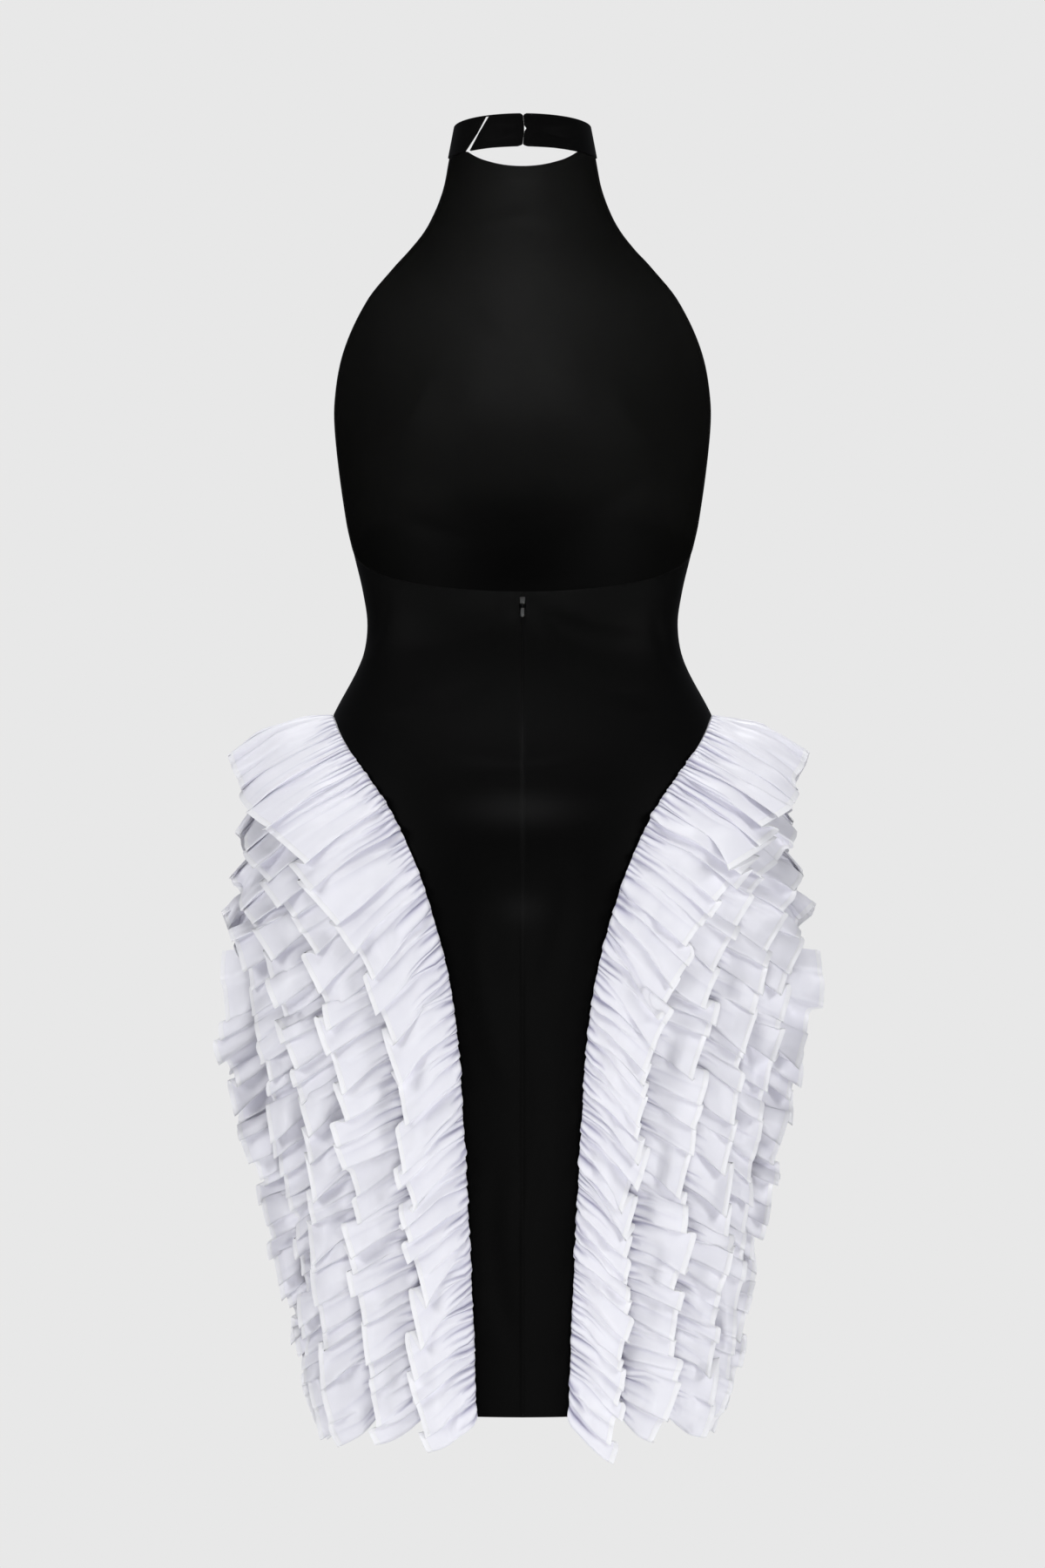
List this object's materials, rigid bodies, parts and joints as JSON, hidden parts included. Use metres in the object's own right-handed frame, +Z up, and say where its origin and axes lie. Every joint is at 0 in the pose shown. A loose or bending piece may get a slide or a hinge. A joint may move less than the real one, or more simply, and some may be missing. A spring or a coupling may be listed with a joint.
{
  "type": "halter midi dress",
  "caption": "Halter midi dress with a bare back, a black hourglass panel from neck to hem and rows of white ruffles over both hips.",
  "frame": {"origin": "centre of the neck opening, at mid height of the neck band at the back, where the wearer's neck holds the dress up", "axes": "+Z up along the wearer's neck, +Y towards the wearer's front, +X towards the wearer's right"},
  "size_m": [0.4886, 0.2561, 1.0702],
  "materials": {
    "black_cloth": "matt black stretch crepe with a faint sheen",
    "black_band": "matt black stretch crepe, folded double for the neck band",
    "white_ground": "plain matt white lining cloth under the ruffles",
    "white_ruffle": "soft white satin-faced cotton with a narrow stitched hem",
    "black_metal": "black lacquered zip slider and pull",
    "steel_wire": "plain steel hook and eye wire"
  },
  "bodies": {
    "dress": {"front_panel": "black_cloth", "back_panel_left": "black_cloth", "back_panel_right": "black_cloth", "side_panel_left": "white_ground", "side_panel_right": "white_ground", "ruffle_left_1": "white_ruffle", "ruffle_left_2": "white_ruffle", "ruffle_left_3": "white_ruffle", "ruffle_left_4": "white_ruffle", "ruffle_left_5": "white_ruffle", "ruffle_right_1": "white_ruffle", "ruffle_right_2": "white_ruffle", "ruffle_right_3": "white_ruffle", "ruffle_right_4": "white_ruffle", "ruffle_right_5": "white_ruffle", "neck_band_left": "black_band", "neck_band_right": "black_band", "neck_hook": "steel_wire", "neck_eye": "steel_wire", "zip_slider": "black_metal"},
    "zip_pull": {"zip_pull": "black_metal"}
  },
  "joints": [
    {"name": "zip_pull_swing", "type": "hinge", "parent": "dress", "child": "zip_pull", "pos_m": [0, -0.07814, -0.3822], "axis": [-1, 0, 0], "range_deg": [0, 150]}
  ]
}
